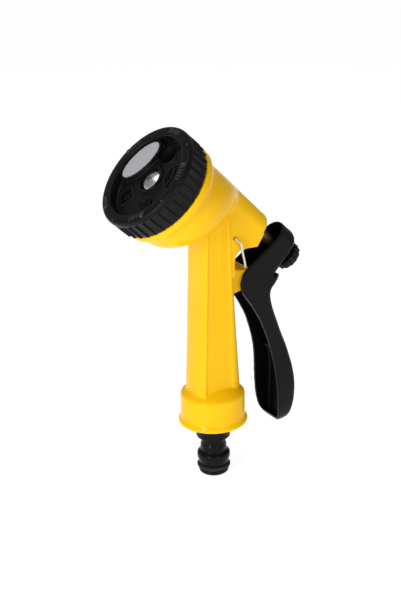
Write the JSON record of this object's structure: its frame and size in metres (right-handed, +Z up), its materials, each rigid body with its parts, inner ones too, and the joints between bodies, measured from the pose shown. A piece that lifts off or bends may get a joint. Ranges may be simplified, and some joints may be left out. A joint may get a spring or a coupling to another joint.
{
  "type": "hose spray nozzle",
  "caption": "Pistol-style garden hose spray nozzle with a tilted ribbed pattern dial, a rear squeeze lever, a flow knob, a wire bail and a click-on hose plug.",
  "frame": {"origin": "centre of the hose plug's end face", "axes": "+Z up along the grip, -Y the way it sprays, +Y towards the lever, X = 0 the mirror plane"},
  "size_m": [0.0532, 0.1026, 0.1806],
  "materials": {
    "yellow_plastic": "glossy moulded yellow",
    "black_plastic": "satin black",
    "rubber": "matt black",
    "steel": "bright stainless",
    "brass": "machined"
  },
  "bodies": {
    "casting": {"body_shell": "yellow_plastic", "hose_plug": "black_plastic", "plug_o_ring": "rubber", "inlet_washer": "rubber", "pivot_pin": "steel", "dial_screw": "steel", "screw_washer": "steel", "dial_friction_ring": "rubber", "port_seal": "rubber", "port_seal_spring": "steel", "detent_ball": "steel", "detent_spring": "steel", "valve_seat": "brass", "gland_nut": "brass", "packing_washer": "brass", "stem_packing": "rubber", "valve_spring": "steel"},
    "dial": {"dial_housing": "black_plastic", "dial_back_plate": "black_plastic", "shower_screen": "steel", "screen_gasket": "rubber", "jet_nozzle": "black_plastic", "fan_nozzle": "black_plastic", "mist_swirler": "black_plastic", "full_flow_sleeve": "black_plastic"},
    "lever": {"lever": "black_plastic"},
    "valve": {"valve_stem": "brass", "valve_washer": "rubber", "washer_nut": "brass", "stem_o_ring": "rubber", "thrust_washer": "steel"},
    "knob": {"flow_knob": "black_plastic", "knob_insert": "brass"},
    "bail": {"wire_bail": "steel"}
  },
  "joints": [
    {"name": "dial_turn", "type": "hinge", "parent": "casting", "child": "dial", "pos_m": [0, -0.03397, 0.1618], "axis": [0, -0.7272, 0.6865], "continuous": true},
    {"name": "lever_pivot", "type": "hinge", "parent": "casting", "child": "lever", "pos_m": [0, 0.0203, 0.1013], "axis": [-1, 0, 0], "range_deg": [0, 10], "stiffness_Nm_per_rad": 1.2, "springref_deg": -14.32},
    {"name": "valve_slide", "type": "slide", "parent": "casting", "child": "valve", "axis": [0, 0.7272, -0.6865], "range_m": [0, 0.0042], "deforming": ["valve_spring"]},
    {"name": "knob_turn", "type": "hinge", "parent": "valve", "child": "knob", "pos_m": [0, -0.02395, 0.17242], "axis": [0, 0.7272, -0.6865], "range_deg": [-360, 360]},
    {"name": "bail_swing", "type": "hinge", "parent": "casting", "child": "bail", "pos_m": [0, 0.0088, 0.1254], "axis": [1, 0, 0], "range_deg": [-8, 30]}
  ],
  "couplings": [
    {"joint": "valve_slide", "follows": "lever_pivot", "m_per_rad": 0.0235}
  ]
}
